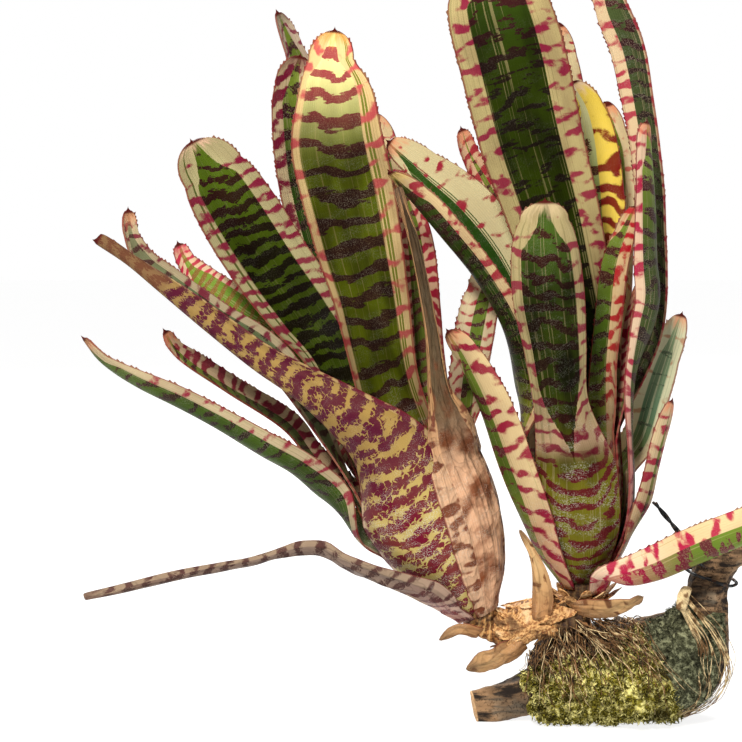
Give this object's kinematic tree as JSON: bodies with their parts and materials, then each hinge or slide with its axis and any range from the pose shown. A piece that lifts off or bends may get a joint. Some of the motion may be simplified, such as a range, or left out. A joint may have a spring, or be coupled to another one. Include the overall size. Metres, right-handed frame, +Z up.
{
  "type": "neoregelia bromeliad on driftwood",
  "caption": "Banded neoregelia bromeliad: leaf rosettes joined by a short woody runner, rooted with moss on a bent piece of driftwood.",
  "frame": {"origin": "middle of the flat under the driftwood's elbow, on the surface it rests on", "axes": "+Z up, +X to the right and +Y away from a viewer who faces the mossy side of the wood"},
  "size_m": [0.3489, 0.1557, 0.3699],
  "materials": {
    "leaf_green": "satin",
    "leaf_dark": "satin",
    "leaf_pale": "satin",
    "leaf_yellow": "satin",
    "leaf_marbled": "satin",
    "withered_tan": "matt, dry",
    "withered_grey": "matt, dry",
    "rhizome_brown": "rough, fibrous",
    "root_straw": "matt, wiry",
    "wood_brown": "weathered, matt",
    "moss_green": "matt, curly",
    "moss_grey": "matt, fuzzy",
    "wire_dark": "dull"
  },
  "bodies": {
    "root": {"left_leaf_lowest": "leaf_green", "left_leaf_far": "leaf_green", "left_leaf_shaded": "leaf_green", "right_leaf_far": "leaf_green", "right_leaf_front": "leaf_green", "right_leaf_arching": "leaf_green", "right_leaf_tallest": "leaf_green", "left_leaf_edge_on": "leaf_dark", "left_leaf_barred": "leaf_dark", "left_leaf_broad": "leaf_dark", "right_leaf_side": "leaf_dark", "right_leaf_upper_right": "leaf_dark", "left_leaf_low": "leaf_pale", "left_leaf_right": "leaf_pale", "left_leaf_hooked": "leaf_pale", "right_leaf_drooping": "leaf_pale", "right_leaf_low_left": "leaf_pale", "right_leaf_low_right": "leaf_pale", "right_leaf_outer_pale": "leaf_pale", "right_leaf_narrow_back": "leaf_pale", "right_leaf_pale": "leaf_pale", "right_leaf_striped": "leaf_pale", "left_leaf_tall": "leaf_yellow", "right_leaf_yellow": "leaf_yellow", "left_leaf_marbled": "leaf_marbled", "left_leaf_red_barred": "leaf_marbled", "right_leaf_red_tip": "leaf_marbled", "right_leaf_young": "leaf_marbled", "right_leaf_short_red": "leaf_marbled", "left_withered_front": "withered_tan", "dry_sheath_upright": "withered_tan", "dry_sheath_under": "withered_tan", "dry_stub": "withered_tan", "left_withered_side": "withered_grey", "dry_spike": "withered_grey", "rhizome": "rhizome_brown", "roots": "root_straw", "roots_elbow": "root_straw", "driftwood": "wood_brown", "moss_bright": "moss_green", "moss_grey": "moss_grey", "tie_wire": "wire_dark"}
  },
  "joints": []
}
